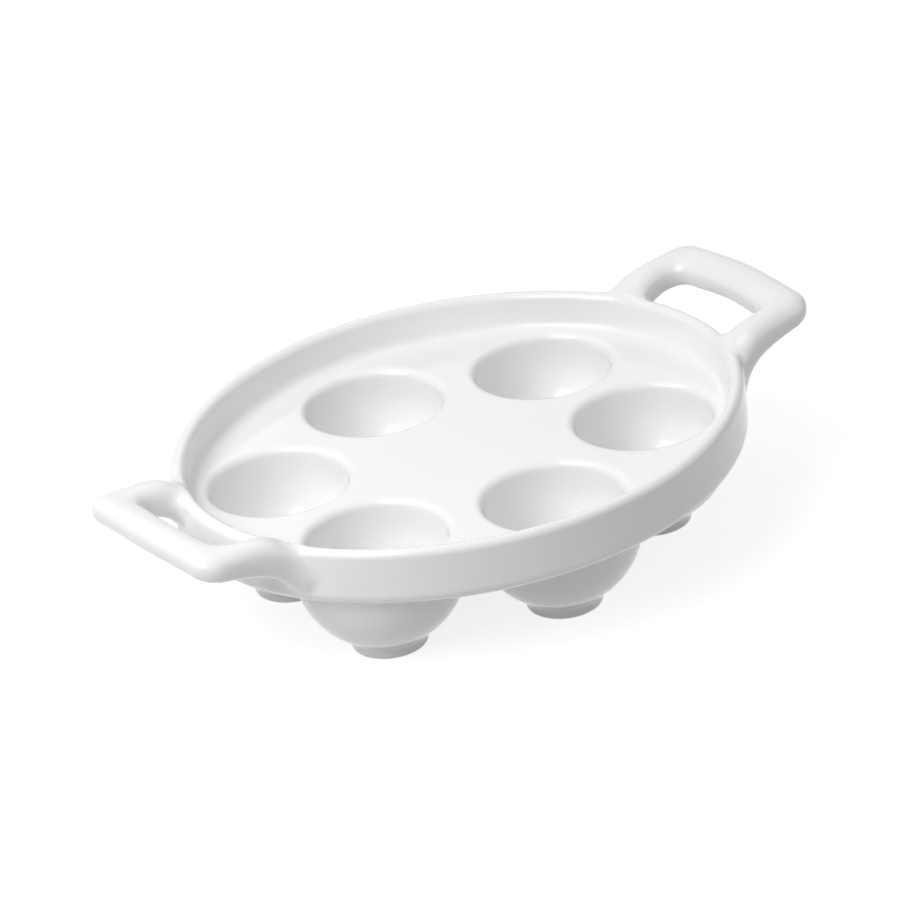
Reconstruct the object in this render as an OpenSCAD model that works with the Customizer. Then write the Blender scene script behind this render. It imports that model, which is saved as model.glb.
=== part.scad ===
// Escargot plate: a shallow oval tray with an upright rounded rim, six round wells
// that hang below the floor on foot rings, and a loop handle at each end.
// Millimetres, +Z up, +X along the two handles, origin on the table under the middle.

/* [Wells] */
// Radius inside a well
well_radius = 16.5; // [14.5:0.1:18]
// Depth of a well below the tray floor
well_depth = 23.4; // [21:0.1:27]
// Floor left between two neighbouring wells
well_web = 6.4; // [5:0.1:8]
// How far the two side wells stand out past the end wells, along Y
side_step = 15.8; // [13:0.1:19]
// Rounding of a well's lip
lip_radius = 2; // [1:0.1:3.5]
// Thickness of a well's wall
well_wall = 3.9; // [3:0.1:5]
// Thickness under the lowest point of a well
base_thick = 2.4; // [2:0.1:4]
// Fillet between a well's outside and the underside of the tray
under_fillet = 1.4; // [0.5:0.1:2]

/* [Oval] */
// Distance from the middle to the centre of an end arc
end_shift = 16; // [12:0.5:20]
// Distance from an end well's hollow to the rim's crest line
end_margin = 6.4; // [5.5:0.1:8.5]
// Distance from a side well's hollow to the rim's crest line
side_margin = 9.5; // [7.5:0.1:12.5]

/* [Tray] */
// Thickness of the tray floor
floor_thick = 5.5; // [4.5:0.1:7]
// Height of the rim's crest above the floor
rim_rise = 8.6; // [7:0.1:12]
// Thickness of the rim at its crest
crest_thick = 3.4; // [2.8:0.1:5]
// Inset of the wall's lower edge from the crest line
wall_taper = 0.2; // [0:0.1:1.5]
// Draft of the wall's inner face, in degrees
inner_draft = 6; // [0:0.5:10]
// Rounding of the wall's lower edge
wall_edge = 2; // [1:0.1:2.4]
// Fillet between the floor and the rim
floor_fillet = 1.6; // [1:0.1:3]

/* [Feet] */
// Outer radius of a foot ring
foot_radius = 9.1; // [8:0.1:11]
// Width of a foot ring's band
foot_width = 2.9; // [2:0.1:4]
// Height of a foot ring
foot_height = 2.4; // [1.6:0.1:4]
// Rounding of a foot ring's lower edges
foot_edge = 0.8; // [0.3:0.1:1]

/* [Handles] */
// Reach of a handle beyond the rim's crest line
handle_reach = 20.3; // [17:0.1:28]
// Width of a handle over its two arms
handle_width = 50.4; // [42:0.2:54]
// Width of the grip bar, seen from above
bar_width = 9.2; // [7:0.1:11]
// Thickness of the grip bar
bar_thick = 7.1; // [5:0.1:9]
// Width of a handle's arm, seen from above
arm_width = 8; // [6:0.1:10]
// Rise of the grip bar's middle line above the rim's crest
bar_rise = 1.7; // [0:0.1:5]
// Crown of the grip bar, middle over ends
bar_crown = 1; // [0:0.1:3]
// Outward bow of the grip bar, middle over ends
bar_bow = 0.8; // [0:0.1:3]
// Upward tilt of a handle, in degrees
handle_tilt = 8.5; // [0:0.5:14]
// Outer corner radius of a handle, seen from above
outer_corner = 6; // [4:0.1:9]
// Inner corner radius of the finger gap
inner_corner = 4.8; // [2:0.1:6]
// Widening of an arm on each side where it meets the rim
root_flare = 2.2; // [0:0.1:3]
// Distance of an arm's root below the crest
root_drop = 1.2; // [0.5:0.1:3]

/* [Hidden] */
$fn = 96;
// Steps in each rounded part of a profile
arc_steps = 10;
// Steps along each stretch of a handle, and points round its section
loft_steps = 8;
section_points = 24;
// Roundness of the handle's section: 2 is an ellipse, more is squarer
section_power = 2.5;
// Distance inside the crest line at which a handle's arms reach their full depth
root_inset = 4.9;
// Angle on the rounding of the wall's lower edge at which a handle's seat starts
seat_start = -45;
// How quickly an arm sinks and deepens towards its root
sink_power = 4.9;
deepen_power = 1.9;
// Overlap of cutting shapes past what they cut, and of arcs past where they are trimmed in degrees
over = 1;
overrun = 3;

end_well_x = 2 * well_radius + well_web;
end_well_y = well_radius + well_web / 2;
side_well_y = end_well_y + side_step;

// The crest line's end arcs pass the end wells, and its side arcs meet them smoothly
end_radius = nearest(norm([end_well_x - end_shift, end_well_y]) + well_radius + end_margin);
half_length = end_shift + end_radius;
half_width = side_well_y + well_radius + side_margin;
side_bulge = half_width - end_radius;
// Distance between the centres of an end arc and a side arc, which is also how far their radii differ
centre_gap = nearest((end_shift^2 + side_bulge^2) / (2 * side_bulge), 8);
arc_split = acos(end_shift / centre_gap);

well_bottom = foot_height + base_thick;
ball_mid = well_bottom + well_radius;
bulge_radius = well_radius + well_wall;
floor_top = well_bottom + well_depth;
floor_bottom = floor_top - floor_thick;
crest_top = floor_top + rim_rise;
crest_radius = crest_thick / 2;
crest_mid = [0, crest_top - crest_radius];
edge_mid = [-wall_taper, floor_bottom + wall_edge];
// Height of the middle of the rim's fillet, and its offset from the crest line, where the floor ends
bend_z = floor_top + floor_fillet;
bend_lean = (crest_mid.y - bend_z) * sin(inner_draft);
floor_joint = -(crest_radius + floor_fillet + bend_lean) / cos(inner_draft);
lip = min(lip_radius, floor_top - ball_mid - foot_edge);

well_names = [
    "well_back", "well_front", "well_right_back",
    "well_right_front", "well_left_back", "well_left_front"
];
foot_names = [
    "foot_back", "foot_front", "foot_right_back",
    "foot_right_front", "foot_left_back", "foot_left_front"
];
well_places = [
    [0, side_well_y], [0, -side_well_y], [end_well_x, end_well_y],
    [end_well_x, -end_well_y], [-end_well_x, end_well_y], [-end_well_x, -end_well_y]
];

glaze = [0.95, 0.95, 0.96];
biscuit = [0.90, 0.88, 0.84];

// A length to the nearest whole part of a millimetre, so that swept pieces meet on the same numbers
function nearest(length, parts = 1024) = round(length * parts) / parts;

// Points along an arc, between two angles in degrees
function arc(mid, radius, from, to, steps = arc_steps) = [
    for (i = [0 : steps])
        let (angle = from + (to - from) * i / steps)
            mid + radius * [cos(angle), sin(angle)]
];

function reverse(list) = [for (i = [len(list) - 1 : -1 : 0]) list[i]];

// Angle at which the wall's straight face touches its two rounded ends
function wall_lean() =
    let (rise = crest_mid - edge_mid)
        atan2(rise.y, rise.x) - acos((crest_radius - wall_edge) / norm(rise));

// Outside of the rim from an angle on its lower edge up to the crest, as offset and height
function wall_outside(from = -90) = concat(
    arc(edge_mid, wall_edge, from, wall_lean()),
    arc(crest_mid, crest_radius, wall_lean(), 90)
);

// Inside of the rim from the crest down its face and fillet to the floor's joint
function rim_inside() = concat(
    arc(crest_mid, crest_radius, 90, 180 - inner_draft),
    arc([floor_joint, bend_z], floor_fillet, -inner_draft, -90)
);

// Sweeps an outline of offset and height round an arc, filled in to its centre
module arc_filled(outline, radius, angle) {
    rotate_extrude(angle = angle)
        polygon(concat(
            [for (point = outline) [radius + nearest(point.x), nearest(point.y)]],
            [[0, nearest(outline[len(outline) - 1].y)], [0, nearest(outline[0].y)]]
        ));
}

// The same outline round a quarter of the oval: an end arc and a side arc leave the line
// through both their centres, run past the quarter's two ends and are trimmed there
module quarter_filled(outline) {
    intersection() {
        translate([0, 0, -over])
            cube([2 * half_length, 2 * half_width, 2 * crest_top]);
        translate([end_shift, 0, 0])
            rotate(arc_split) {
                mirror([0, 1, 0])
                    arc_filled(outline, end_radius, arc_split + overrun);
                translate([-centre_gap, 0, 0])
                    arc_filled(outline, end_radius + centre_gap, 90 - arc_split + overrun);
            }
    }
}

// The same outline round the whole oval
module oval_filled(outline) {
    for (across = [0, 1], along = [0, 1])
        mirror([across, 0, 0])
            mirror([0, along, 0])
                quarter_filled(outline);
}

// Half outline of a well's hollow: ball, straight neck and flared lip
function hollow_profile() = concat(
    arc([0, ball_mid], well_radius, -90, 0, 2 * arc_steps),
    arc([well_radius + lip, floor_top - lip], lip, 180, 90),
    [[well_radius + lip, crest_top], [0, crest_top]]
);

module well_hollows() {
    for (place = well_places)
        translate(place)
            rotate_extrude()
                polygon(hollow_profile());
}

// Half outline of a well's outside, filled to the axis
function bulge_profile() =
    let (seat = max(foot_radius, sqrt(max(0, bulge_radius^2 - (ball_mid - foot_height)^2))))
    let (fillet_z = floor_bottom - under_fillet)
    let (fillet_r = sqrt((bulge_radius + under_fillet)^2 - (fillet_z - ball_mid)^2))
    let (touch = atan2(fillet_z - ball_mid, fillet_r))
        concat(
            [[0, foot_height], [seat, foot_height]],
            arc([0, ball_mid], bulge_radius, -acos(seat / bulge_radius), touch, 2 * arc_steps),
            arc([fillet_r, fillet_z], under_fillet, touch + 180, 90),
            [[0, floor_bottom]]
        );

// Everything past the plane midway between a well and its neighbour
module beyond_midway(neighbour) {
    reach = 3 * bulge_radius;
    rotate(atan2(neighbour.y, neighbour.x))
        translate([norm(neighbour) / 2, -reach, -over])
            cube([reach, 2 * reach, crest_top]);
}

module well_cup(index) {
    place = well_places[index];
    touching = 2 * (bulge_radius + under_fillet);
    translate(place)
        difference() {
            rotate_extrude()
                difference() {
                    polygon(bulge_profile());
                    polygon(hollow_profile());
                }
            for (other = well_places)
                let (neighbour = other - place)
                    if (norm(neighbour) > 0 && norm(neighbour) < touching)
                        beyond_midway(neighbour);
        }
}

// Band of a foot ring with both lower edges rounded
function foot_profile() =
    let (inner = foot_radius - foot_width)
        concat(
            [[inner, foot_height]],
            arc([inner + foot_edge, foot_edge], foot_edge, 180, 270),
            arc([foot_radius - foot_edge, foot_edge], foot_edge, -90, 0),
            [[foot_radius, foot_height]]
        );

module foot_ring(index) {
    translate(well_places[index])
        rotate_extrude()
            polygon(foot_profile());
}

bar_outer_x = half_length + handle_reach;
bar_inner_x = bar_outer_x - bar_width;
bar_mid_x = (bar_outer_x + bar_inner_x) / 2;
arm_outer_y = handle_width / 2;
arm_inner_y = arm_outer_y - arm_width;
bar_mid_z = crest_top + bar_rise;
root_x = half_length - root_inset;
root_mid_z = (floor_bottom + crest_top - root_drop) / 2;
root_half = (crest_top - root_drop - floor_bottom) / 2;
tilt_drop = tan(handle_tilt) * (bar_mid_x - root_x);
// The loft runs on inside the rim, which trims it
loft_start_x = end_shift + sqrt((end_radius - root_inset)^2 - (arm_outer_y + root_flare)^2);

// Share of the way from the grip bar to the rim
function inward(x) = min(1, (bar_mid_x - x) / (bar_mid_x - root_x));

function middle_z(x, y) =
    let (f = inward(x))
        bar_mid_z - tilt_drop * f
        + (root_mid_z - bar_mid_z + tilt_drop) * max(0, f)^sink_power
        + bar_crown * (1 - (y / arm_outer_y)^2) * min(1, 1 - f);

function half_height(x) =
    bar_thick / 2 + (root_half - bar_thick / 2) * max(0, inward(x))^deepen_power;

function flare(x) = root_flare * max(0, inward(x))^3;

// Plan of one half of a handle, root to bar's middle, as pairs of inner and outer points
function half_plan() =
    let (inner_mid = [bar_inner_x - inner_corner, arm_inner_y - inner_corner])
    let (outer_mid = [bar_outer_x - outer_corner, arm_outer_y - outer_corner])
    let (arm = [
        for (i = [0 : 2 * loft_steps - 1])
            let (f = i / (2 * loft_steps))
            let (inner_x = loft_start_x + (inner_mid.x - loft_start_x) * f)
            let (outer_x = loft_start_x + (outer_mid.x - loft_start_x) * f)
                [[inner_x, arm_inner_y - flare(inner_x)], [outer_x, arm_outer_y + flare(outer_x)]]
    ])
    let (corner = [
        for (i = [0 : loft_steps])
            let (angle = 90 * (1 - i / loft_steps))
            let (way = [cos(angle), sin(angle)])
                [inner_mid + inner_corner * way, outer_mid + outer_corner * way]
    ])
    let (bar = [
        for (i = [1 : loft_steps])
            let (f = 1 - i / loft_steps)
            let (bow = bar_bow * (1 - f^2))
                [[bar_inner_x + bow, inner_mid.y * f], [bar_outer_x + bow, outer_mid.y * f]]
    ])
        concat(arm, corner, bar);

// Plan of the whole handle, from its back root round to its front root
function full_plan() =
    let (half = half_plan())
    let (count = len(half))
        concat(half, [
            for (i = [count - 2 : -1 : 0])
                [for (point = half[i]) [point.x, -point.y]]
        ]);

// A rounded section standing between an inner and an outer point
function section(inner, outer) = [
    for (i = [0 : section_points - 1])
        let (angle = 360 * (i + 0.5) / section_points)
        let (across = sign(cos(angle)) * abs(cos(angle))^(2 / section_power))
        let (up = sign(sin(angle)) * abs(sin(angle))^(2 / section_power))
        let (plan = (inner + outer) / 2 + (outer - inner) / 2 * across)
            [plan.x, plan.y, middle_z(plan.x, plan.y) + half_height(plan.x) * up]
];

module handle_loft() {
    plan = full_plan();
    last = len(plan) - 1;
    n = section_points;
    skin = [
        for (k = [0 : last - 1], i = [0 : n - 1])
            let (j = (i + 1) % n)
                [k * n + i, (k + 1) * n + i, (k + 1) * n + j, k * n + j]
    ];
    triangles = [
        for (face = skin)
            each [[face[0], face[1], face[2]], [face[0], face[2], face[3]]]
    ];
    start_cap = [for (i = [0 : n - 1]) i];
    end_cap = [for (i = [n - 1 : -1 : 0]) last * n + i];
    polyhedron(
        points = [for (pair = plan) each section(pair[0], pair[1])],
        faces = concat([start_cap], triangles, [end_cap])
    );
}

// All that lies within the wall on one side, above and below it too, which trims a handle to its seat
module within_wall() {
    seat = wall_outside(seat_start);
    outline = concat(
        [[seat[0].x, 0]],
        seat,
        [[0, 2 * crest_top]]
    );
    for (along = [0, 1])
        mirror([0, along, 0])
            quarter_filled(outline);
}

module handle() {
    difference() {
        handle_loft();
        within_wall();
    }
}

module dish_floor() {
    color(glaze)
        difference() {
            oval_filled([[floor_joint, floor_bottom], [floor_joint, floor_top]]);
            well_hollows();
        }
}

module rim_wall() {
    color(glaze)
        difference() {
            oval_filled(wall_outside());
            oval_filled(concat(
                [[floor_joint, floor_bottom - over]],
                reverse(rim_inside()),
                [[0, crest_top + over]]
            ));
            well_hollows();
        }
}

module well(index) {
    color(glaze) well_cup(index);
}

module foot(index) {
    color(biscuit) foot_ring(index);
}

module handle_right() {
    color(glaze) handle();
}

module handle_left() {
    color(glaze) rotate(180) handle();
}

dish_floor();
rim_wall();
for (i = [0 : len(well_places) - 1]) {
    well(i);
    foot(i);
}
handle_right();
handle_left();
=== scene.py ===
"""Looks of the escargot plate: a glazed porcelain body on biscuit foot rings, in a studio."""

import logging
import math
from dataclasses import dataclass
from enum import Enum
from typing import Callable, Dict, List, Tuple, Union

import bpy
import numpy as np
from mathutils import Matrix, Vector


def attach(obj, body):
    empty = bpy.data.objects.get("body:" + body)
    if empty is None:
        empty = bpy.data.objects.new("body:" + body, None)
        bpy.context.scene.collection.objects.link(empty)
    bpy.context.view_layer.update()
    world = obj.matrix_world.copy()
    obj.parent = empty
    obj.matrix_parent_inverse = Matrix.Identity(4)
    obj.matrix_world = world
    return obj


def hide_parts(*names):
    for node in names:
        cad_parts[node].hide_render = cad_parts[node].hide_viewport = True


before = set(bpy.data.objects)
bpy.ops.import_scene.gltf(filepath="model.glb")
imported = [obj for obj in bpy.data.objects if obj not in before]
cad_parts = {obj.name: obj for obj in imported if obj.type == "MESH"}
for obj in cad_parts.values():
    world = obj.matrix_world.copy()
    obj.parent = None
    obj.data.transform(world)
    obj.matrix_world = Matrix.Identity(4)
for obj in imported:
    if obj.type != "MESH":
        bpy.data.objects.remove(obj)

LOG = logging.getLogger("escargot_plate")
BODY = "root"
MM = 0.001
TINY = 1e-9
FAR_OFF = 1e3
Triple = Tuple[float, float, float]
Socket = bpy.types.NodeSocket
Measure = Callable[[np.ndarray], np.ndarray]


class Slot(Enum):
    """The record's material slots."""

    GLAZE = "glaze"
    BISCUIT = "biscuit"


class Side(Enum):
    """The end of the plate that a handle stands on, as the sign of X."""

    RIGHT = 1
    LEFT = -1


class Place(Enum):
    """Where a well sits on the tray, as the signs of X and Y."""

    BACK = (0, 1)
    FRONT = (0, -1)
    RIGHT_BACK = (1, 1)
    RIGHT_FRONT = (1, -1)
    LEFT_BACK = (-1, 1)
    LEFT_FRONT = (-1, -1)

    @property
    def word(self) -> str:
        """The place as it stands in a node's name."""
        return self.name.lower()


def melt(a: np.ndarray, b: np.ndarray, soft: Union[float, np.ndarray]) -> np.ndarray:
    """Join two solids, given as distances, with an inner corner rounded over a width in millimetres."""
    share = np.clip(0.5 + 0.5 * (b - a) / soft, 0.0, 1.0)
    return b + (a - b) * share - soft * share * (1.0 - share)


def pare(a: np.ndarray, b: np.ndarray, soft: float) -> np.ndarray:
    """Keep what two solids share, with their outer corner rounded over a width in millimetres."""
    return -melt(-a, -b, soft)


def unit(rows: np.ndarray) -> np.ndarray:
    """Scale each row to a length of one."""
    return rows / np.maximum(np.linalg.norm(rows, axis=1, keepdims=True), TINY)


def gradient(measure: Measure, points: np.ndarray, step: float) -> np.ndarray:
    """Slope of a measure at points.

    Args:
        measure: Gives a value for each point.
        points: Points in millimetres, one per row.
        step: Half span of the difference.

    Returns:
        Slope at each point, one per row.
    """
    result = np.empty_like(points)
    for axis in range(3):
        shift = np.zeros(3)
        shift[axis] = step
        result[:, axis] = measure(points + shift) - measure(points - shift)
    return result / (2.0 * step)


def put(name: str, data: bpy.types.ID) -> bpy.types.Object:
    """Make an object of a mesh, a lamp or a camera, and link it to the scene."""
    thing = bpy.data.objects.new(name, data)
    bpy.context.scene.collection.objects.link(thing)
    return thing


@dataclass(frozen=True)
class Oval:
    """Plan of the rim's crest line: two end arcs and two side arcs that meet smoothly."""

    end_radius: float = 53.489
    end_shift: float = 16.0
    side_shift: float = 12.0

    @property
    def side_radius(self) -> float:
        """Radius of the two long side arcs."""
        return self.end_radius + math.hypot(self.end_shift, self.side_shift)

    def offset(self, x: np.ndarray, y: np.ndarray) -> np.ndarray:
        """Measure how far points lie outside the crest line.

        Args:
            x: X of each point, in millimetres.
            y: Y of each point, in millimetres.

        Returns:
            Offset of each point, negative inside the oval.
        """
        across, along = np.abs(x), np.abs(y)
        out = across - self.end_shift
        at_end = self.end_shift * along - self.side_shift * out < 0.0
        end = np.hypot(out, along) - self.end_radius
        side = np.hypot(across, along + self.side_shift) - self.side_radius
        return np.where(at_end, end, side)


@dataclass(frozen=True)
class Tray:
    """The floor and the rim, as profiles of offset and height."""

    floor_bottom: float = 22.7
    floor_top: float = 28.2
    crest_mid: float = 35.1
    crest_radius: float = 1.7
    edge_inset: float = 1.2
    edge_mid: float = 25.7
    edge_radius: float = 3.0
    draft: float = 6.0
    fillet: float = 1.9
    joint: float = -3.875

    def wall(self, offset: np.ndarray, z: np.ndarray) -> np.ndarray:
        """Distance to the leaning wall: the hull of its crest and its lower edge.

        Args:
            offset: Offset from the crest line.
            z: Height above the table.

        Returns:
            Distance to the wall.
        """
        run, fall = -self.edge_inset, self.edge_mid - self.crest_mid
        length = math.hypot(run, fall)
        ux, uy = run / length, fall / length
        side = np.abs(-offset * uy + (z - self.crest_mid) * ux)
        down = offset * ux + (z - self.crest_mid) * uy
        lean = (self.crest_radius - self.edge_radius) / length
        true = math.sqrt(1.0 - lean * lean)
        where = true * down - lean * side
        crest = np.hypot(side, down) - self.crest_radius
        edge = np.hypot(side, down - length) - self.edge_radius
        face = side * true + down * lean - self.crest_radius
        return np.where(where < 0.0, crest, np.where(where > true * length, edge, face))

    def ring(self, offset: np.ndarray, z: np.ndarray, wall: np.ndarray) -> np.ndarray:
        """Distance to the rim with its drafted inner face.

        Args:
            offset: Offset from the crest line.
            z: Height above the table.
            wall: Distance to the leaning wall.

        Returns:
            Distance to the rim.
        """
        run, rise = math.cos(math.radians(self.draft)), math.sin(math.radians(self.draft))
        up = z - self.crest_mid
        crest = np.hypot(offset, up)
        face = np.where(offset * rise + up * run > 0.0, crest, up * rise - offset * run)
        return np.where(offset < 0.0, face - self.crest_radius, wall)

    def shell(self, offset: np.ndarray, z: np.ndarray, wall: np.ndarray) -> np.ndarray:
        """Distance to all that the underside and the wall's outside hold in."""
        return np.where(offset < -self.edge_inset, self.floor_bottom - z, wall)


@dataclass(frozen=True)
class Wells:
    """The six round wells and the cups that hold them."""

    radius: float = 16.5
    ball_mid: float = 21.3
    bulge_radius: float = 20.4
    base: float = 2.4
    side_y: float = 35.5
    end_x: float = 39.4
    end_y: float = 19.7
    lip: float = 2.35
    under: float = 3.4
    seat: float = 0.8
    seam_drop: float = 0.5

    def middle(self, place: Place) -> Tuple[float, float]:
        """Axis of a well in plan.

        Args:
            place: Which well.

        Returns:
            X and Y of its axis, in millimetres.
        """
        right, back = place.value
        if right == 0:
            return 0.0, self.side_y * back
        return self.end_x * right, self.end_y * back

    def reach(self, place: Place, x: np.ndarray, y: np.ndarray) -> np.ndarray:
        """Distance of points from a well's axis."""
        mid_x, mid_y = self.middle(place)
        return np.hypot(x - mid_x, y - mid_y)

    def hollow(self, reach: np.ndarray, z: np.ndarray) -> np.ndarray:
        """Distance to a well's hollow: a ball below and a straight neck above."""
        return np.hypot(reach, np.minimum(z - self.ball_mid, 0.0)) - self.radius

    def cup(self, reach: np.ndarray, z: np.ndarray) -> np.ndarray:
        """Distance to a well's filled cup: a ball with a flat seat for its foot ring."""
        ball = np.hypot(reach, z - self.ball_mid) - self.bulge_radius
        return pare(ball, self.base - z, self.seat)


@dataclass(frozen=True)
class Loop:
    """A loop handle: a ring in plan whose section rises, thins and squares off along its arms."""

    bar_outer: float = 89.789
    bar_inner: float = 80.589
    bow: float = 0.8
    arm_outer: float = 25.2
    arm_inner: float = 17.2
    outer_corner: float = 6.0
    inner_corner: float = 4.8
    flare: float = 2.2
    flare_power: int = 3
    bar_mid: float = 38.5
    bar_half: float = 3.55
    slope: float = 0.15
    root_x: float = 64.589
    root_mid: float = 29.6
    root_half: float = 5.9
    sink: float = 4.9
    deepen: float = 1.9
    crown: float = 1.0
    square: float = 2.5
    least_width: float = 0.8
    least_slope: float = 0.08
    least_total: float = 1e-12
    bed: float = 0.5
    steep: float = 4.0
    fillet: float = 3.4
    tight: float = 0.3
    near: float = 55.0

    @staticmethod
    def outline(x: np.ndarray, y: np.ndarray, x_end: np.ndarray, y_end: np.ndarray,
                corner: float) -> np.ndarray:
        """Distance to a half strip with rounded corners.

        Args:
            x: X of each point.
            y: Y of each point, not negative.
            x_end: X of the strip's end.
            y_end: Y of the strip's side.
            corner: Radius of the corner.

        Returns:
            Distance to the outline.
        """
        qx, qy = x - (x_end - corner), y - (y_end - corner)
        out = np.hypot(np.maximum(qx, 0.0), np.maximum(qy, 0.0))
        return out + np.minimum(np.maximum(qx, qy), 0.0) - corner

    def bowed(self, y: np.ndarray, end: float) -> np.ndarray:
        """How far the grip bar bows outwards at Y, up to the end where its corner starts."""
        return self.bow * (1.0 - np.clip(y / end, 0.0, 1.0) ** 2) ** 2

    def blend(self, z: np.ndarray) -> np.ndarray:
        """Width of the rounding where the handle runs into the wall, tighter under its root."""
        low = self.root_mid - self.root_half
        return self.fillet * np.clip((z - low) / self.root_half, self.tight, 1.0)

    def distance(self, x: np.ndarray, y: np.ndarray, z: np.ndarray,
                 offset: np.ndarray) -> np.ndarray:
        """Distance to the handle, bedded a little into the rim's wall.

        Args:
            x: X of each point, not negative.
            y: Y of each point, not negative.
            z: Height above the table.
            offset: Offset from the rim's crest line.

        Returns:
            Distance to the handle.
        """
        bar_x = (self.bar_outer + self.bar_inner) / 2.0
        length = bar_x - self.root_x
        inward = (bar_x - x) / length
        share = np.clip(inward, 0.0, 1.0)
        tilt = self.slope * length
        mid = self.bar_mid - tilt * inward + (self.root_mid - self.bar_mid + tilt) * share**self.sink
        mid = mid + self.crown * (1.0 - (y / self.arm_outer) ** 2) * np.clip(1.0 - inward, 0.0, 1.0)
        half = self.bar_half + (self.root_half - self.bar_half) * share**self.deepen
        flare = self.flare * share**self.flare_power
        outer_x = self.bar_outer + self.bowed(y, self.arm_outer - self.outer_corner)
        inner_x = self.bar_inner + self.bowed(y, self.arm_inner - self.inner_corner)
        outer = -self.outline(x, y, outer_x, self.arm_outer + flare, self.outer_corner)
        inner = self.outline(x, y, inner_x, self.arm_inner - flare, self.inner_corner)
        width = np.maximum((outer + inner) / 2.0, self.least_width)
        n = np.abs((inner - outer) / 2.0) / width
        m = np.abs(z - mid) / half
        power = self.square
        total = n**power + m**power + self.least_total
        lean = np.hypot(n ** (power - 1.0) / width, m ** (power - 1.0) / half)
        slope = total ** (1.0 / power - 1.0) * lean
        loft = (total ** (1.0 / power) - 1.0) / np.maximum(slope, self.least_slope)
        return np.maximum(loft, -self.steep * (offset + self.bed))


class Porcelain:
    """The whole fired body as one smooth solid, and how it divides into its formed pieces."""

    FLOOR = 1
    RIM = 2
    FIRST_WELL = 3
    FIRST_HANDLE = 9

    def __init__(self, oval: Oval, tray: Tray, wells: Wells, loop: Loop) -> None:
        """Keep the elements that make up the body.

        Args:
            oval: Plan of the rim.
            tray: Floor and rim.
            wells: Wells and cups.
            loop: Handle at the right end; the left one is its mirror.
        """
        self.oval = oval
        self.tray = tray
        self.wells = wells
        self.loop = loop
        self.cup_top = tray.floor_bottom - wells.seam_drop

    def tray_distance(self, x: np.ndarray, y: np.ndarray, z: np.ndarray,
                      offset: np.ndarray) -> np.ndarray:
        """Distance to the body without its handles.

        Args:
            x: X of each point, in millimetres.
            y: Y of each point.
            z: Height above the table.
            offset: Offset from the rim's crest line.

        Returns:
            Distance of each point, negative inside.
        """
        wall = self.tray.wall(offset, z)
        above = melt(self.tray.ring(offset, z, wall), z - self.tray.floor_top, self.tray.fillet)
        below = self.tray.shell(offset, z, wall)
        hollow = np.full_like(x, FAR_OFF)
        for place in Place:
            reach = self.wells.reach(place, x, y)
            hollow = np.minimum(hollow, self.wells.hollow(reach, z))
            below = melt(below, self.wells.cup(reach, z), self.wells.under)
        return np.maximum(pare(above, -hollow, self.wells.lip), below)

    def distance(self, points: np.ndarray) -> np.ndarray:
        """Distance to the body's surface.

        Args:
            points: Points in millimetres, one per row.

        Returns:
            Distance of each point, negative inside.
        """
        x, y, z = points.T
        offset = self.oval.offset(x, y)
        body = self.tray_distance(x, y, z, offset)
        near = np.abs(x) > self.loop.near
        if near.any():
            loop = self.loop.distance(np.abs(x[near]), np.abs(y[near]), z[near], offset[near])
            body[near] = melt(body[near], loop, self.loop.blend(z[near]))
        return body

    def slope(self, points: np.ndarray, step: float = 0.01) -> np.ndarray:
        """Gradient of the distance, over a half span of one step."""
        return gradient(self.distance, points, step)

    def bend(self, points: np.ndarray, step: float = 0.9) -> np.ndarray:
        """How strongly the surface curves: positive on edges, negative in creases.

        Args:
            points: Points on the surface, one per row.
            step: Span of the difference, in millimetres.

        Returns:
            Sum of the curvatures, per millimetre.
        """
        total = -6.0 * self.distance(points)
        for axis in range(3):
            shift = np.zeros(3)
            shift[axis] = step
            total += self.distance(points + shift) + self.distance(points - shift)
        return total / (step * step)

    def piece(self, points: np.ndarray) -> np.ndarray:
        """Which formed piece each point inside the body belongs to.

        Args:
            points: Points in millimetres, one per row.

        Returns:
            Number of the piece at each point.
        """
        x, y, z = points.T
        offset = self.oval.offset(x, y)
        result = np.where(offset > self.tray.joint, self.RIM, self.FLOOR)
        reach = np.stack([self.wells.reach(place, x, y) for place in Place])
        result = np.where(z < self.cup_top, self.FIRST_WELL + reach.argmin(axis=0), result)
        held = (np.abs(x) > self.loop.near) & (self.seat(x, y, z, offset) < 0.0)
        return np.where(held, self.FIRST_HANDLE + (x < 0.0), result).astype(np.int16)

    def seat(self, x: np.ndarray, y: np.ndarray, z: np.ndarray, offset: np.ndarray) -> np.ndarray:
        """Distance-like value that is zero on a handle's seat, negative on the handle's side."""
        loop = self.loop.distance(np.abs(x), np.abs(y), z, offset)
        return np.maximum((loop - self.tray_distance(x, y, z, offset)) / 2.0, self.loop.bed - offset)

    def seam(self, first: int, second: int, points: np.ndarray) -> np.ndarray:
        """Distance-like value that is zero where two pieces meet.

        Args:
            first: Number of one piece.
            second: Number of the other piece.
            points: Points in millimetres, one per row.

        Returns:
            Value at each point.
        """
        x, y, z = points.T
        low, high = min(first, second), max(first, second)
        if high >= self.FIRST_HANDLE:
            return self.seat(x, y, z, self.oval.offset(x, y))
        if low >= self.FIRST_WELL:
            places = list(Place)
            a, b = places[low - self.FIRST_WELL], places[high - self.FIRST_WELL]
            return (self.wells.reach(a, x, y) - self.wells.reach(b, x, y)) / 2.0
        if high >= self.FIRST_WELL:
            return z - self.cup_top
        return self.oval.offset(x, y) - self.tray.joint


@dataclass
class Skin:
    """A closed mesh of one piece, in millimetres."""

    points: np.ndarray
    quads: np.ndarray
    normals: np.ndarray
    bend: np.ndarray


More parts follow.
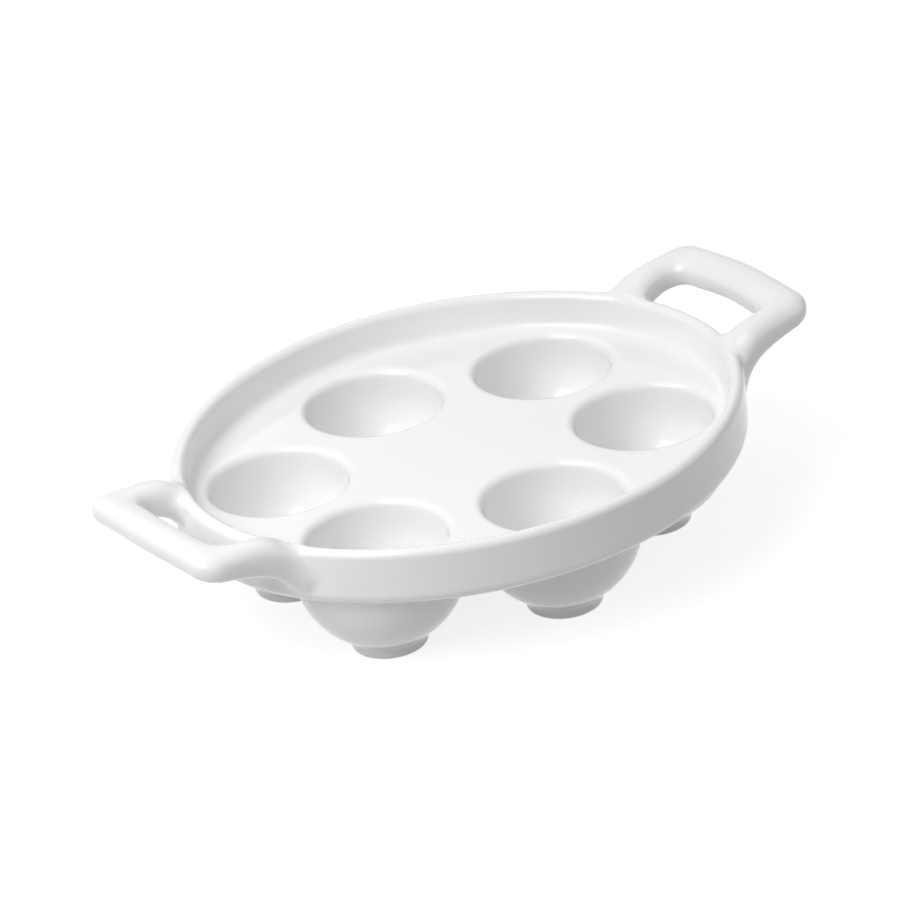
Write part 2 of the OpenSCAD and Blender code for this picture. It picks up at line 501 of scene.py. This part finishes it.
class Former:
    """Draws the body's skin on a lattice, piece by piece, so that neighbours share their seams."""

    BAND = 16
    UNPINCH_ROUNDS = 4
    SETTLE_ROUNDS = 4
    EVEN_ROUNDS = 5
    MEND_ROUNDS = 8
    PAST_ALL = 99
    SEAM_STEP = 0.01
    NORMAL_STEP = 0.02
    LEAST_SLOPE = 0.05
    LONGEST_MOVE = 1.2
    SLIDE = 0.6
    FOLD = 0.01

    def __init__(self, body: Porcelain, low: Triple, high: Triple, cell: float) -> None:
        """Lay the lattice out.

        Args:
            body: The solid to draw.
            low: Lowest corner of the lattice, in millimetres.
            high: Highest corner of the lattice, in millimetres.
            cell: Edge of a lattice cell, in millimetres.
        """
        self.body = body
        self.cell = cell
        self.low = np.array(low, float)
        self.count = np.ceil((np.array(high) - self.low) / cell).astype(int) + 1

    def _sample(self) -> Tuple[np.ndarray, np.ndarray]:
        """Measure the body at every lattice point.

        Returns:
            Distances, and the number of the piece at each point, 0 outside.
        """
        nx, ny, nz = self.count
        far = np.empty((nx, ny, nz))
        mark = np.zeros((nx, ny, nz), np.int16)
        ys = self.low[1] + self.cell * np.arange(ny)
        zs = self.low[2] + self.cell * np.arange(nz)
        for start in range(0, nx, self.BAND):
            xs = self.low[0] + self.cell * np.arange(start, min(start + self.BAND, nx))
            grid = np.stack(np.meshgrid(xs, ys, zs, indexing="ij"), axis=-1)
            points = grid.reshape(-1, 3)
            value = self.body.distance(points)
            inside = value < 0.0
            number = np.zeros(len(points), np.int16)
            number[inside] = self.body.piece(points[inside])
            far[start:start + len(xs)] = value.reshape(grid.shape[:3])
            mark[start:start + len(xs)] = number.reshape(grid.shape[:3])
        for _ in range(self.UNPINCH_ROUNDS):
            self._unpinch(mark)
        return far, mark

    @staticmethod
    def _unpinch(mark: np.ndarray) -> None:
        """Hand single points over to the next piece where a piece would touch itself only along a line.

        Args:
            mark: Pieces at the lattice points, changed in place.
        """
        for u, v in ((0, 1), (1, 2), (0, 2)):
            layers = np.moveaxis(mark, (u, v), (0, 1))
            a, b, c, d = layers[:-1, :-1], layers[1:, :-1], layers[:-1, 1:], layers[1:, 1:]
            pinch = (a == d) & (a > 0) & (b != a) & (c != a) & ((b > 0) | (c > 0))
            a[pinch] = np.where(b > 0, b, c)[pinch]
            pinch = (b == c) & (b > 0) & (a != b) & (d != b) & ((a > 0) | (d > 0))
            b[pinch] = np.where(a > 0, a, d)[pinch]

    def _vertices(self, far: np.ndarray, mark: np.ndarray) -> Tuple[np.ndarray, np.ndarray, np.ndarray]:
        """Put one vertex in every cell that a boundary crosses.

        Args:
            far: Distances at the lattice points.
            mark: Pieces at the lattice points.

        Returns:
            Number of the vertex in each cell, the vertices, and the pieces at their cells' corners.
        """
        nx, ny, nz = self.count
        offsets = [(i, j, k) for i in (0, 1) for j in (0, 1) for k in (0, 1)]
        view = {o: mark[o[0]:nx - 1 + o[0], o[1]:ny - 1 + o[1], o[2]:nz - 1 + o[2]] for o in offsets}
        mixed = np.zeros((nx - 1, ny - 1, nz - 1), bool)
        for o in offsets[1:]:
            mixed |= view[o] != view[offsets[0]]
        cells = np.argwhere(mixed)
        number = np.full(mixed.shape, -1, np.int32)
        number[mixed] = np.arange(len(cells))
        corner_mark = np.stack([mark[tuple((cells + o).T)] for o in offsets], axis=1)
        corner_far = np.stack([far[tuple((cells + o).T)] for o in offsets], axis=1)
        spot = np.array(offsets, float)
        skin_sum, skin_n = np.zeros((len(cells), 3)), np.zeros(len(cells))
        seam_sum, seam_n = np.zeros((len(cells), 3)), np.zeros(len(cells))
        for a in range(8):
            for b in range(a + 1, 8):
                if abs(spot[a] - spot[b]).sum() != 1.0:
                    continue
                one, two = corner_mark[:, a], corner_mark[:, b]
                differ = one != two
                open_air = differ & ((one == 0) | (two == 0))
                gap = corner_far[:, a] - corner_far[:, b]
                part = np.clip(corner_far[:, a] / np.where(open_air, gap, 1.0), 0.0, 1.0)
                cross = spot[a] + part[:, None] * (spot[b] - spot[a])
                skin_sum += np.where(open_air[:, None], cross, 0.0)
                skin_n += open_air
                inner = differ & ~open_air
                seam_sum += np.where(inner[:, None], (spot[a] + spot[b]) / 2.0, 0.0)
                seam_n += inner
        mean = np.where((skin_n > 0)[:, None], skin_sum / np.maximum(skin_n, 1)[:, None],
                        seam_sum / np.maximum(seam_n, 1)[:, None])
        return number, self.low + self.cell * (cells + mean), corner_mark

    def _quads(self, mark: np.ndarray, number: np.ndarray) -> Tuple[np.ndarray, np.ndarray, np.ndarray]:
        """Span a face across every lattice edge that leaves a piece.

        Args:
            mark: Pieces at the lattice points.
            number: Number of the vertex in each cell.

        Returns:
            Faces, the piece behind each and the piece in front of each.
        """
        faces, behind, ahead = [], [], []
        for axis in range(3):
            low = np.moveaxis(mark, axis, 0)[:-1]
            high = np.moveaxis(mark, axis, 0)[1:]
            cross = np.argwhere(low != high)
            at = np.insert(cross[:, 1:], axis, cross[:, 0], axis=1)
            u, v = (axis + 1) % 3, (axis + 2) % 3
            ring = []
            for du, dv in ((1, 1), (0, 1), (0, 0), (1, 0)):
                cell = at.copy()
                cell[:, u] -= du
                cell[:, v] -= dv
                ring.append(number[tuple(cell.T)])
            faces.append(np.stack(ring, axis=1))
            behind.append(low[tuple(cross.T)])
            ahead.append(high[tuple(cross.T)])
        return np.concatenate(faces), np.concatenate(behind), np.concatenate(ahead)

    def _settle(self, points: np.ndarray, corner_mark: np.ndarray) -> np.ndarray:
        """Move vertices on to the body's surface and on to the seams between pieces.

        Args:
            points: Vertices in millimetres.
            corner_mark: Pieces at the corners of each vertex's cell.

        Returns:
            The vertices where they belong.
        """
        start = points
        points = points.copy()
        skin = (corner_mark == 0).any(axis=1)
        top = corner_mark.max(axis=1)
        low = np.where(corner_mark > 0, corner_mark, self.PAST_ALL).min(axis=1)
        pairs = sorted({(int(a), int(b)) for a, b in zip(low[low < top], top[low < top])})
        for _ in range(self.SETTLE_ROUNDS):
            points[skin] = self._pull(points[skin])
            for first, second in pairs:
                at = np.flatnonzero((low == first) & (top == second))
                points[at] = self._to_seam(points[at], skin[at], first, second)
        points[skin] = self._pull(points[skin])
        move = points - start
        size = np.linalg.norm(move, axis=1, keepdims=True)
        return start + move * np.minimum(1.0, self.LONGEST_MOVE * self.cell / np.maximum(size, TINY))

    def _pull(self, points: np.ndarray) -> np.ndarray:
        """Take one step towards the surface."""
        return self._step(points, self.body.distance(points), self.body.slope(points))

    def _step(self, points: np.ndarray, value: np.ndarray, slope: np.ndarray) -> np.ndarray:
        """Take one step down a slope, to where the value comes to zero."""
        size = np.maximum((slope * slope).sum(axis=1), self.LEAST_SLOPE)
        return points - (value / size)[:, None] * slope

    def _to_seam(self, points: np.ndarray, skin: np.ndarray, first: int, second: int) -> np.ndarray:
        """Take one step towards the seam of two pieces, along the surface where there is one.

        Args:
            points: Points near the seam.
            skin: Which of them lie on the surface.
            first: Number of one piece.
            second: Number of the other piece.

        Returns:
            The points after the step.
        """
        def seam(at: np.ndarray) -> np.ndarray:
            """Measure points against the seam."""
            return self.body.seam(first, second, at)

        slope = gradient(seam, points, self.SEAM_STEP)
        face = unit(self.body.slope(points))
        along = slope - (slope * face).sum(axis=1, keepdims=True) * face
        return self._step(points, seam(points), np.where(skin[:, None], along, slope))

    def _even(self, points: np.ndarray, quads: np.ndarray, free: np.ndarray) -> np.ndarray:
        """Even out the spacing of the free vertices.

        Args:
            points: Vertices on the surface.
            quads: Outer faces.
            free: Which vertices may slide.

        Returns:
            The vertices after sliding.
        """
        total, count = np.zeros_like(points), np.zeros(len(points))
        for a, b in ((0, 1), (1, 2), (2, 3), (3, 0)):
            for one, two in ((quads[:, a], quads[:, b]), (quads[:, b], quads[:, a])):
                for axis in range(3):
                    total[:, axis] += np.bincount(one, points[two, axis], len(points))
                count += np.bincount(one, minlength=len(points))
        mean = total / np.maximum(count, 1)[:, None]
        points = points.copy()
        points[free] += self.SLIDE * (mean[free] - points[free])
        points[free] = self._pull(self._pull(points[free]))
        return points

    def _folded(self, points: np.ndarray, quads: np.ndarray) -> np.ndarray:
        """Find faces with a corner that turns the wrong way.

        Args:
            points: Vertices on the surface.
            quads: Outer faces.

        Returns:
            Which faces are folded.
        """
        corner = points[quads]
        way = self._facing(corner)
        folded = np.zeros(len(quads), bool)
        for k in range(4):
            before, here, after = corner[:, k - 1], corner[:, k], corner[:, (k + 1) % 4]
            folded |= (np.cross(here - before, after - here) * way).sum(axis=1) < self.FOLD
        return folded

    @staticmethod
    def _facing(corner: np.ndarray) -> np.ndarray:
        """Find which way faces look, from their four corners."""
        return unit(np.cross(corner[:, 2] - corner[:, 0], corner[:, 3] - corner[:, 1]))

    def skins(self) -> Dict[int, Skin]:
        """Draw every piece.

        Returns:
            The closed mesh of each piece, by its number.
        """
        far, mark = self._sample()
        number, points, corner_mark = self._vertices(far, mark)
        quads, behind, ahead = self._quads(mark, number)
        points = self._settle(points, corner_mark)
        outer = (behind == 0) | (ahead == 0)
        skin = (corner_mark == 0).any(axis=1)
        top = corner_mark.max(axis=1)
        single = np.where(corner_mark > 0, corner_mark, self.PAST_ALL).min(axis=1) == top
        for _ in range(self.EVEN_ROUNDS):
            points = self._even(points, quads[outer], skin & single)
        for _ in range(self.MEND_ROUNDS):
            free = np.zeros(len(points), bool)
            free[quads[outer][self._folded(points, quads[outer])]] = True
            points = self._even(points, quads[outer], free & skin)
        normals = np.zeros_like(points)
        normals[skin] = unit(self.body.slope(points[skin], self.NORMAL_STEP))
        bend = np.zeros(len(points))
        bend[skin] = self.body.bend(points[skin])
        result = {}
        for piece in np.unique(mark[mark > 0]):
            faces = np.concatenate([quads[behind == piece], quads[ahead == piece][:, ::-1]])
            open_air = np.concatenate([ahead[behind == piece] == 0, behind[ahead == piece] == 0])
            used, local = np.unique(faces, return_inverse=True)
            faces = local.reshape(-1, 4)
            near = points[used]
            flat = self._facing(near[faces])
            shade = np.where(open_air[:, None, None], normals[used][faces], flat[:, None, :])
            result[int(piece)] = Skin(near, faces, shade.reshape(-1, 3), bend[used])
        return result


@dataclass(frozen=True)
class FootRing:
    """A foot ring under a cup, turned as a closed band that runs out on to the cup in a fillet."""

    outer: float = 9.1
    width: float = 2.9
    height: float = 2.4
    edge: float = 0.8
    fillet: float = 3.6
    bed: float = 0.12
    turns: int = 96
    steps: int = 6
    sharp: float = 40.0

    def profile(self, wells: Wells) -> List[Tuple[float, float]]:
        """Section of the band, from its inner top corner down, round, up its fillet and back.

        Args:
            wells: The cups that the band runs out on to.

        Returns:
            Points of radius and height, in millimetres.
        """
        inner = self.outer - self.width
        points = [(inner, self.height + self.bed), (inner, (self.height + self.edge) / 2.0)]
        for mid, start in ((inner + self.edge, 180.0), (self.outer - self.edge, 270.0)):
            points += self._arc(mid, self.edge, self.edge, start, start + 90.0)
        mid = self.outer + self.fillet
        drop = math.sqrt((wells.bulge_radius + self.fillet) ** 2 - mid**2)
        end = 180.0 - math.degrees(math.atan2(drop, mid))
        points += self._arc(mid, wells.ball_mid - drop, self.fillet, 180.0, end)
        ball = wells.bulge_radius - self.bed
        seat = math.sqrt(ball**2 - (wells.ball_mid - self.height - self.bed) ** 2)
        radius = points[-1][0]
        for i in range(self.steps):
            radius -= (radius - seat) / (self.steps - i)
            points.append((radius, wells.ball_mid - math.sqrt(ball**2 - radius**2)))
        return points

    def _arc(self, mid: float, height: float, radius: float, start: float,
             end: float) -> List[Tuple[float, float]]:
        """Points along an arc of the section.

        Args:
            mid: Radius at which the arc's centre lies.
            height: Height of the arc's centre.
            radius: The arc's own radius.
            start: Angle at which it starts, in degrees.
            end: Angle at which it ends.

        Returns:
            Points of radius and height.
        """
        turns = [math.radians(start + (end - start) * i / self.steps) for i in range(self.steps + 1)]
        return [(mid + radius * math.cos(turn), height + radius * math.sin(turn)) for turn in turns]

    def build(self, place: Place, wells: Wells) -> bpy.types.Object:
        """Turn the ring under a well.

        Args:
            place: Which well.
            wells: Where the wells are.

        Returns:
            The ring's object.
        """
        mid_x, mid_y = wells.middle(place)
        profile = self.profile(wells)
        n = len(profile)
        vertices = []
        for i in range(self.turns):
            angle = 2.0 * math.pi * i / self.turns
            for radius, z in profile:
                vertices.append(((mid_x + radius * math.cos(angle)) * MM,
                                 (mid_y + radius * math.sin(angle)) * MM, z * MM))
        faces = []
        for i in range(self.turns):
            j = (i + 1) % self.turns
            for k in range(n):
                m = (k + 1) % n
                faces.append((i * n + k, j * n + k, j * n + m, i * n + m))
        mesh = bpy.data.meshes.new("foot_ring_" + place.word)
        mesh.from_pydata(vertices, [], faces)
        mesh.validate()
        mesh.shade_smooth()
        mesh.set_sharp_from_angle(angle=math.radians(self.sharp))
        return put(mesh.name, mesh)


class Nodes:
    """A tree of shader nodes, with the few kinds that the finishes and the studio need."""

    def __init__(self, owner: Union[bpy.types.Material, bpy.types.World]) -> None:
        """Open the tree of a material or a world."""
        owner.use_nodes = True
        self.tree = owner.node_tree

    def add(self, kind: str) -> bpy.types.Node:
        """Add a node of a kind."""
        return self.tree.nodes.new("ShaderNode" + kind)

    def wire(self, source: Socket, target: Socket) -> None:
        """Link one socket to another."""
        self.tree.links.new(source, target)

    def maths(self, operation: str, *values: Union[Socket, float]) -> Socket:
        """Add a sum.

        Args:
            operation: Which sum.
            values: Its numbers, or the sockets that give them.

        Returns:
            The result.
        """
        node = self.add("Math")
        node.operation = operation
        for socket, value in zip(node.inputs, values):
            if isinstance(value, float):
                socket.default_value = value
            else:
                self.wire(value, socket)
        return node.outputs[0]

    def noise(self, place: Socket, scale: float, detail: float) -> Socket:
        """Add a noise.

        Args:
            place: Coordinates that it fills.
            scale: Scale of the noise, per metre.
            detail: Octaves.

        Returns:
            The noise's value.
        """
        node = self.add("TexNoise")
        node.inputs["Scale"].default_value = scale
        node.inputs["Detail"].default_value = detail
        self.wire(place, node.inputs["Vector"])
        return node.outputs["Fac"]

    def remap(self, value: Socket, start: float, end: float, low: float = 0.0, high: float = 1.0) -> Socket:
        """Add a smooth change of range.

        Args:
            value: What is mapped.
            start: Value that gives low.
            end: Value that gives high.
            low: Result at start.
            high: Result at end.

        Returns:
            The mapped value.
        """
        node = self.add("MapRange")
        node.interpolation_type = "SMOOTHSTEP"
        for name, number in (("From Min", start), ("From Max", end), ("To Min", low), ("To Max", high)):
            node.inputs[name].default_value = number
        self.wire(value, node.inputs["Value"])
        return node.outputs["Result"]

    def mix(self, share: Socket, first: Union[Socket, Triple], second: Triple) -> Socket:
        """Add a blend of two colours.

        Args:
            share: Share of the second colour.
            first: First colour, or the socket that gives it.
            second: Second colour.

        Returns:
            The blended colour.
        """
        node = self.add("Mix")
        node.data_type = "RGBA"
        self.wire(share, node.inputs["Factor"])
        if isinstance(first, tuple):
            node.inputs["A"].default_value = (*first, 1.0)
        else:
            self.wire(first, node.inputs["A"])
        node.inputs["B"].default_value = (*second, 1.0)
        return node.outputs["Result"]

    def bump(self, height: Socket, distance: float) -> bpy.types.Node:
        """Add a bump and wire it to the material's shader.

        Args:
            height: Height of the surface, from 0 to 1.
            distance: What a height of 1 stands for, in metres.

        Returns:
            The bump, for its strength to be set.
        """
        node = self.add("Bump")
        node.inputs["Distance"].default_value = distance
        self.wire(height, node.inputs["Height"])
        self.wire(node.outputs["Normal"], self.tree.nodes["Principled BSDF"].inputs["Normal"])
        return node

    def seen(self) -> Socket:
        """Tell rays that show the background from rays that light the object.

        Returns:
            A value of 1 for camera, glossy and transmission rays.
        """
        path = self.add("LightPath")
        seen = path.outputs["Is Camera Ray"]
        for name in ("Is Glossy Ray", "Is Transmission Ray"):
            seen = self.maths("MAXIMUM", seen, path.outputs[name])
        return seen


@dataclass(frozen=True)
class GlazeFinish:
    """White glossy glaze: cooler where it pools in creases, thinner and warmer on edges."""

    white: Triple = (0.922, 0.918, 0.923)
    cool: Triple = (0.82, 0.835, 0.855)
    warm: Triple = (0.935, 0.925, 0.91)
    pool_bend: Tuple[float, float] = (-0.1, -1.0)
    pool_share: float = 0.55
    edge_bend: Tuple[float, float] = (0.15, 0.7)
    edge_share: float = 0.5
    cloud_scale: float = 38.0
    cloud_range: Tuple[float, float] = (0.35, 0.75)
    cloud_share: float = 0.22
    smear_scale: float = 95.0
    smear_range: Tuple[float, float] = (0.3, 0.8)
    gloss: float = 0.09
    dull: float = 0.16
    refraction: float = 1.5
    coat: float = 0.12
    coat_gloss: float = 0.05
    wave_scale: float = 130.0
    peel_scale: float = 900.0
    peel_share: float = 0.12
    ripple: float = 0.05
    ripple_height: float = 0.0006

    def material(self) -> bpy.types.Material:
        """Make the finish.

        Returns:
            The glaze's material.
        """
        material = bpy.data.materials.new("white_glaze")
        nodes = Nodes(material)
        shader = nodes.tree.nodes["Principled BSDF"]
        shader.inputs["IOR"].default_value = self.refraction
        shader.inputs["Coat Weight"].default_value = self.coat
        shader.inputs["Coat Roughness"].default_value = self.coat_gloss
        place = nodes.add("TexCoord").outputs["Object"]
        bend = nodes.add("Attribute")
        bend.attribute_name = "bend"
        pool = nodes.remap(bend.outputs["Fac"], *self.pool_bend)
        edge = nodes.remap(bend.outputs["Fac"], *self.edge_bend)
        cloud = nodes.noise(place, self.cloud_scale, 4.0)
        tint = nodes.mix(nodes.remap(cloud, *self.cloud_range, 0.0, self.cloud_share), self.white, self.cool)
        pooled = nodes.mix(nodes.remap(pool, 0.0, 1.0, 0.0, self.pool_share), tint, self.cool)
        thin = nodes.mix(nodes.remap(edge, 0.0, 1.0, 0.0, self.edge_share), pooled, self.warm)
        nodes.wire(thin, shader.inputs["Base Color"])
        smear = nodes.noise(place, self.smear_scale, 5.0)
        nodes.wire(nodes.remap(smear, *self.smear_range, self.gloss, self.dull), shader.inputs["Roughness"])
        wave = nodes.noise(place, self.wave_scale, 1.5)
        peel = nodes.noise(place, self.peel_scale, 2.0)
        bump = nodes.bump(nodes.maths("MULTIPLY_ADD", peel, self.peel_share, wave), self.ripple_height)
        bump.inputs["Strength"].default_value = self.ripple
        return material


@dataclass(frozen=True)
class BiscuitFinish:
    """Bare fired clay where a foot ring stands: matt and finely speckled, below the glaze's edge."""

    clay: Triple = (0.90, 0.895, 0.88)
    speck: Triple = (0.78, 0.76, 0.72)
    speck_scale: float = 1500.0
    speck_range: Tuple[float, float] = (0.62, 0.78)
    speck_share: float = 0.5
    glaze: Triple = GlazeFinish.white
    glaze_line: float = 0.0003
    rough: float = 0.62
    gloss: float = 0.11
    refraction: float = 1.45
    coat: float = 0.25
    grain_scale: float = 2600.0
    grain_height: float = 0.0002
    clay_grain: float = 0.25
    glaze_grain: float = 0.02

    def material(self) -> bpy.types.Material:
        """Make the finish.

        Returns:
            The biscuit's material.
        """
        material = bpy.data.materials.new("bare_biscuit")
        nodes = Nodes(material)
        shader = nodes.tree.nodes["Principled BSDF"]
        shader.inputs["IOR"].default_value = self.refraction
        place = nodes.add("TexCoord").outputs["Object"]
        speckle = nodes.noise(place, self.speck_scale, 3.0)
        share = nodes.remap(speckle, *self.speck_range, 0.0, self.speck_share)
        colour = nodes.mix(share, self.clay, self.speck)
        parts = nodes.add("SeparateXYZ")
        nodes.wire(place, parts.inputs["Vector"])
        glazed = nodes.remap(parts.outputs["Z"], self.glaze_line, 2.0 * self.glaze_line)
        nodes.wire(nodes.mix(glazed, colour, self.glaze), shader.inputs["Base Color"])
        nodes.wire(nodes.remap(glazed, 0.0, 1.0, 0.0, self.coat), shader.inputs["Coat Weight"])
        nodes.wire(nodes.remap(glazed, 0.0, 1.0, self.rough, self.gloss), shader.inputs["Roughness"])
        bump = nodes.bump(nodes.noise(place, self.grain_scale, 3.0), self.grain_height)
        strength = nodes.remap(glazed, 0.0, 1.0, self.clay_grain, self.glaze_grain)
        nodes.wire(strength, bump.inputs["Strength"])
        return material


@dataclass(frozen=True)
class GlazedBody:
    """The glazed pieces: floor, rim, cups and handles, drawn from one smooth body."""

    cell: float = 0.75
    half_length: float = 93.0
    half_width: float = 67.0
    top: float = 45.5
    base_gap: float = 0.4

    def nodes(self) -> Dict[int, str]:
        """Name the CAD node that each piece stands for.

        Returns:
            Node of each piece, by the piece's number.
        """
        names = {Porcelain.FLOOR: "dish_floor", Porcelain.RIM: "rim_wall"}
        for i, place in enumerate(Place):
            names[Porcelain.FIRST_WELL + i] = "well_" + place.word
        for i, side in enumerate(Side):
            names[Porcelain.FIRST_HANDLE + i] = "handle_" + side.name.lower()
        return names

    def build(self, body: Porcelain) -> Dict[str, bpy.types.Object]:
        """Draw all the pieces.

        Args:
            body: The solid to draw.

        Returns:
            The pieces' objects, by CAD node.
        """
        half = self.cell * 0.5
        reach = (self.half_length, self.half_width)
        low = tuple(half - self.cell * math.ceil(edge / self.cell) for edge in reach)
        base = body.cup_top - half - self.cell * math.ceil((body.cup_top - self.base_gap) / self.cell)
        skins = Former(body, (*low, base), (-low[0], -low[1], self.top), self.cell).skins()
        nodes = self.nodes()
        return {nodes[number]: self._object("glazed_" + nodes[number], skin)
                for number, skin in skins.items()}

    @staticmethod
    def _object(name: str, skin: Skin) -> bpy.types.Object:
        """Make an object of a skin.

        Args:
            name: The object's name.
            skin: Its mesh in millimetres.

        Returns:
            The object, linked to the scene.
        """
        mesh = bpy.data.meshes.new(name)
        mesh.from_pydata((skin.points * MM).tolist(), [], skin.quads.tolist())
        attribute = mesh.attributes.new("bend", "FLOAT", "POINT")
        attribute.data.foreach_set("value", skin.bend.astype(np.float32))
        mesh.shade_smooth()
        mesh.normals_split_custom_set(skin.normals.astype(np.float32))
        return put(name, mesh)


@dataclass(frozen=True)
class Lamp:
    """A round soft lamp that shines at the plate."""

    name: str
    way: Triple
    level: float
    size: float = 0.45
    far: float = 0.6

    def build(self) -> None:
        """Hang the lamp so that it lights a surface that faces it to its level."""
        data = bpy.data.lights.new(self.name, "AREA")
        data.shape = "DISK"
        data.size = self.size
        data.energy = self.level * (math.pi * self.far) ** 2
        way = Vector(self.way).normalized()
        lamp = put(self.name, data)
        lamp.matrix_world = (Matrix.Translation(way * self.far)
                             @ way.to_track_quat("Z", "Y").to_matrix().to_4x4())


@dataclass(frozen=True)
class Studio:
    """White floor, soft light that comes mostly from the left, and the photograph's camera."""

    azimuth: float = -33.476
    elevation: float = 27.173
    roll: float = -7.082
    distance: float = 1326.788
    lens: float = 224.413
    sensor: float = 36.0
    clip: Tuple[float, float] = (0.05, 20.0)
    aim_z: float = 26.8
    slide: Tuple[float, float] = (-2.884, 0.644)
    walls: float = 0.0
    ceiling: float = 0.5
    floor_half: float = 2.5
    floor_rough: float = 0.9
    floor_white: float = 0.4
    floor_glow: float = 0.16
    floor_lift: float = 0.62
    lamps: Tuple[Lamp, ...] = (
        Lamp("key", (-0.693, -0.141, 0.707), 0.55),
        Lamp("top", (-0.312, 0.207, 0.927), 0.2),
        Lamp("right", (0.784, -0.518, 0.342), 0.1),
        Lamp("back", (0.39, 0.59, 0.707), 0.05),
    )

    def camera(self) -> None:
        """Stand the camera at the photograph's viewpoint."""
        a, e, r = (math.radians(v) for v in (self.azimuth, self.elevation, self.roll))
        back = Vector((math.sin(a) * math.cos(e), -math.cos(a) * math.cos(e), math.sin(e)))
        level = Vector((math.cos(a), math.sin(a), 0.0))
        rise = back.cross(level)
        right = math.cos(r) * level + math.sin(r) * rise
        up = -math.sin(r) * level + math.cos(r) * rise
        spot = back * self.distance + right * self.slide[0] + up * self.slide[1]
        spot.z += self.aim_z
        data = bpy.data.cameras.new("camera")
        data.lens = self.lens
        data.sensor_width = self.sensor
        data.clip_start, data.clip_end = self.clip
        camera = put("camera", data)
        camera.matrix_world = Matrix.Translation(spot * MM) @ Matrix((right, up, back)).transposed().to_4x4()
        bpy.context.scene.camera = camera

    def world(self) -> None:
        """Fill the shadows with white light, most from above, behind a white background."""
        world = bpy.data.worlds.new("studio")
        bpy.context.scene.world = world
        nodes = Nodes(world)
        fill = nodes.tree.nodes["Background"]
        white = nodes.add("Background")
        for light in (fill, white):
            light.inputs["Color"].default_value = (1.0, 1.0, 1.0, 1.0)
        parts = nodes.add("SeparateXYZ")
        nodes.wire(nodes.add("TexCoord").outputs["Generated"], parts.inputs["Vector"])
        height = nodes.add("MapRange")
        height.inputs["To Min"].default_value = self.walls
        height.inputs["To Max"].default_value = self.ceiling
        nodes.wire(parts.outputs["Z"], height.inputs["Value"])
        nodes.wire(height.outputs["Result"], fill.inputs["Strength"])
        white.inputs["Strength"].default_value = 1.0
        mix = nodes.add("MixShader")
        nodes.wire(nodes.seen(), mix.inputs["Fac"])
        nodes.wire(fill.outputs["Background"], mix.inputs[1])
        nodes.wire(white.outputs["Background"], mix.inputs[2])
        nodes.wire(mix.outputs["Shader"], nodes.tree.nodes["World Output"].inputs["Surface"])

    def floor(self) -> None:
        """Lay the white floor, which glows a little like a light table and keeps a faint shadow."""
        half = self.floor_half
        corners = [(-half, -half, 0.0), (half, -half, 0.0), (half, half, 0.0), (-half, half, 0.0)]
        mesh = bpy.data.meshes.new("floor")
        mesh.from_pydata(corners, [], [(0, 1, 2, 3)])
        floor = put("floor", mesh)
        material = bpy.data.materials.new("white_floor")
        nodes = Nodes(material)
        shader = nodes.tree.nodes["Principled BSDF"]
        shader.inputs["Base Color"].default_value = (*[self.floor_white] * 3, 1.0)
        shader.inputs["Roughness"].default_value = self.floor_rough
        shader.inputs["Specular IOR Level"].default_value = 0.0
        shader.inputs["Emission Color"].default_value = (1.0, 1.0, 1.0, 1.0)
        lift = nodes.maths("MULTIPLY_ADD", nodes.seen(), self.floor_lift, self.floor_glow)
        nodes.wire(lift, shader.inputs["Emission Strength"])
        mesh.materials.append(material)

    def build(self) -> None:
        """Set the whole studio up."""
        bpy.context.scene.view_settings.view_transform = "Standard"
        self.camera()
        for lamp in self.lamps:
            lamp.build()
        self.world()
        self.floor()


def dress(piece: bpy.types.Object, material: bpy.types.Material, slot: Slot, node: str) -> None:
    """Give a piece its finish and its place in the frame.

    Args:
        piece: The piece.
        material: Its material.
        slot: The record's slot for its finish; not used.
        node: The CAD node that it stands for.
    """
    piece.data.materials.append(material)
    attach(piece, BODY)
    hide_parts(node)
    LOG.info("%s stands for %s: %d faces", piece.name, node, len(piece.data.polygons))


def main() -> None:
    """Build the plate and its studio, and log each piece's face count."""
    logging.basicConfig(level=logging.INFO, format="%(name)s: %(message)s")
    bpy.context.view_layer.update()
    wells = Wells()
    body = Porcelain(Oval(), Tray(), wells, Loop())
    glaze = GlazeFinish().material()
    biscuit = BiscuitFinish().material()
    for node, piece in GlazedBody().build(body).items():
        dress(piece, glaze, Slot.GLAZE, node)
    ring = FootRing()
    for place in Place:
        dress(ring.build(place, wells), biscuit, Slot.BISCUIT, "foot_" + place.word)
    Studio().build()


if __name__ == "__main__":
    main()
